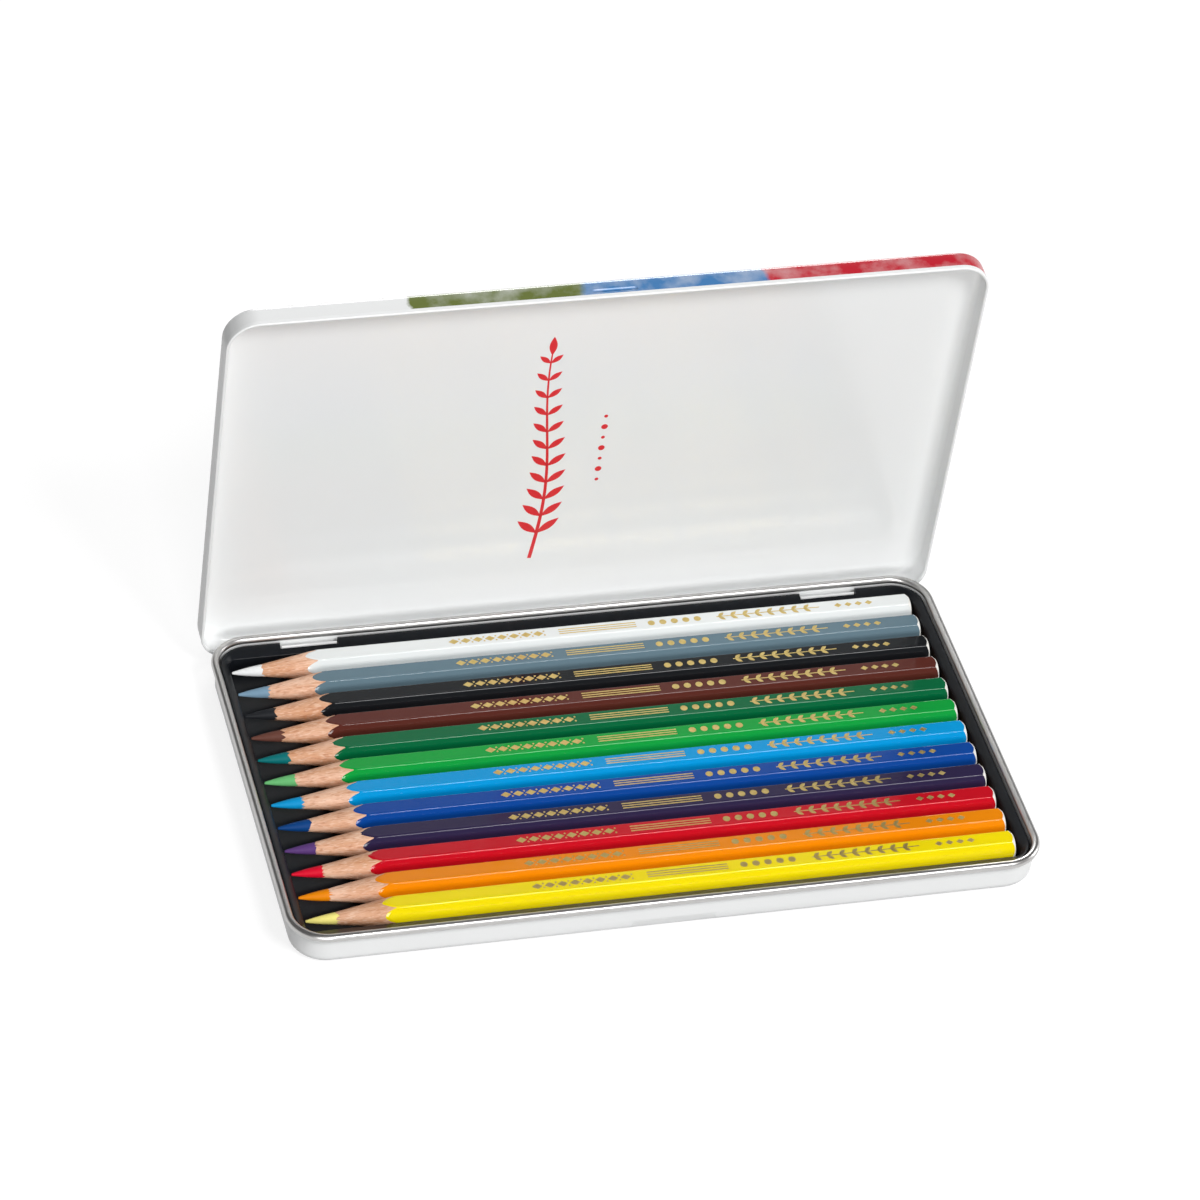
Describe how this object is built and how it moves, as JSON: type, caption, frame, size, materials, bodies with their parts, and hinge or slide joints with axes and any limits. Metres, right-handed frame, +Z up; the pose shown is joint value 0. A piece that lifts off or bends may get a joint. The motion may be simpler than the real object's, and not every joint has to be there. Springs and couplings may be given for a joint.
{
  "type": "watercolor pencil set",
  "caption": "Shallow white tin with a hinged snap lid standing open, a black formed tray and a row of sharpened hexagonal colouring pencils lying side by side in rainbow-like order.",
  "frame": {"origin": "centre of the tin's flat underside", "axes": "+X along the pencils towards their flat ends, +Y towards the hinge, +Z up"},
  "size_m": [0.1886, 0.1153, 0.1154],
  "materials": {
    "tin_lacquer": "glossy white",
    "tray_plastic": "satin black",
    "cedar": "bare, fresh cut",
    "white_lead": "waxy",
    "white_lacquer": "gloss",
    "slate_lead": "waxy",
    "slate_lacquer": "gloss",
    "black_lead": "waxy",
    "black_lacquer": "gloss",
    "brown_lead": "waxy",
    "brown_lacquer": "gloss",
    "pine_lead": "waxy",
    "pine_lacquer": "gloss",
    "green_lead": "waxy",
    "green_lacquer": "gloss",
    "sky_lead": "waxy",
    "sky_lacquer": "gloss",
    "blue_lead": "waxy",
    "blue_lacquer": "gloss",
    "violet_lead": "waxy",
    "violet_lacquer": "gloss",
    "red_lead": "waxy",
    "red_lacquer": "gloss",
    "orange_lead": "waxy",
    "orange_lacquer": "gloss",
    "yellow_lead": "waxy",
    "yellow_lacquer": "gloss"
  },
  "bodies": {
    "tin": {"base_shell": "tin_lacquer", "pencil_tray": "tray_plastic"},
    "lid": {"lid_shell": "tin_lacquer"},
    "white_pencil": {"white_lead": "white_lead", "white_casing": "cedar", "white_lacquer": "white_lacquer"},
    "slate_pencil": {"slate_lead": "slate_lead", "slate_casing": "cedar", "slate_lacquer": "slate_lacquer"},
    "black_pencil": {"black_lead": "black_lead", "black_casing": "cedar", "black_lacquer": "black_lacquer"},
    "brown_pencil": {"brown_lead": "brown_lead", "brown_casing": "cedar", "brown_lacquer": "brown_lacquer"},
    "pine_pencil": {"pine_lead": "pine_lead", "pine_casing": "cedar", "pine_lacquer": "pine_lacquer"},
    "green_pencil": {"green_lead": "green_lead", "green_casing": "cedar", "green_lacquer": "green_lacquer"},
    "sky_pencil": {"sky_lead": "sky_lead", "sky_casing": "cedar", "sky_lacquer": "sky_lacquer"},
    "blue_pencil": {"blue_lead": "blue_lead", "blue_casing": "cedar", "blue_lacquer": "blue_lacquer"},
    "violet_pencil": {"violet_lead": "violet_lead", "violet_casing": "cedar", "violet_lacquer": "violet_lacquer"},
    "red_pencil": {"red_lead": "red_lead", "red_casing": "cedar", "red_lacquer": "red_lacquer"},
    "orange_pencil": {"orange_lead": "orange_lead", "orange_casing": "cedar", "orange_lacquer": "orange_lacquer"},
    "yellow_pencil": {"yellow_lead": "yellow_lead", "yellow_casing": "cedar", "yellow_lacquer": "yellow_lacquer"}
  },
  "joints": [
    {"name": "lid_hinge", "type": "hinge", "parent": "tin", "child": "lid", "pos_m": [0, 0.054, 0.00578], "axis": [-1, 0, 0], "range_deg": [-84.65, 0]},
    {"name": "white_lift", "type": "slide", "parent": "tin", "child": "white_pencil", "axis": [0, 0, 1], "range_m": [0, 0.03]},
    {"name": "slate_lift", "type": "slide", "parent": "tin", "child": "slate_pencil", "axis": [0, 0, 1], "range_m": [0, 0.03]},
    {"name": "black_lift", "type": "slide", "parent": "tin", "child": "black_pencil", "axis": [0, 0, 1], "range_m": [0, 0.03]},
    {"name": "brown_lift", "type": "slide", "parent": "tin", "child": "brown_pencil", "axis": [0, 0, 1], "range_m": [0, 0.03]},
    {"name": "pine_lift", "type": "slide", "parent": "tin", "child": "pine_pencil", "axis": [0, 0, 1], "range_m": [0, 0.03]},
    {"name": "green_lift", "type": "slide", "parent": "tin", "child": "green_pencil", "axis": [0, 0, 1], "range_m": [0, 0.03]},
    {"name": "sky_lift", "type": "slide", "parent": "tin", "child": "sky_pencil", "axis": [0, 0, 1], "range_m": [0, 0.03]},
    {"name": "blue_lift", "type": "slide", "parent": "tin", "child": "blue_pencil", "axis": [0, 0, 1], "range_m": [0, 0.03]},
    {"name": "violet_lift", "type": "slide", "parent": "tin", "child": "violet_pencil", "axis": [0, 0, 1], "range_m": [0, 0.03]},
    {"name": "red_lift", "type": "slide", "parent": "tin", "child": "red_pencil", "axis": [0, 0, 1], "range_m": [0, 0.03]},
    {"name": "orange_lift", "type": "slide", "parent": "tin", "child": "orange_pencil", "axis": [0, 0, 1], "range_m": [0, 0.03]},
    {"name": "yellow_lift", "type": "slide", "parent": "tin", "child": "yellow_pencil", "axis": [0, 0, 1], "range_m": [0, 0.03]}
  ]
}
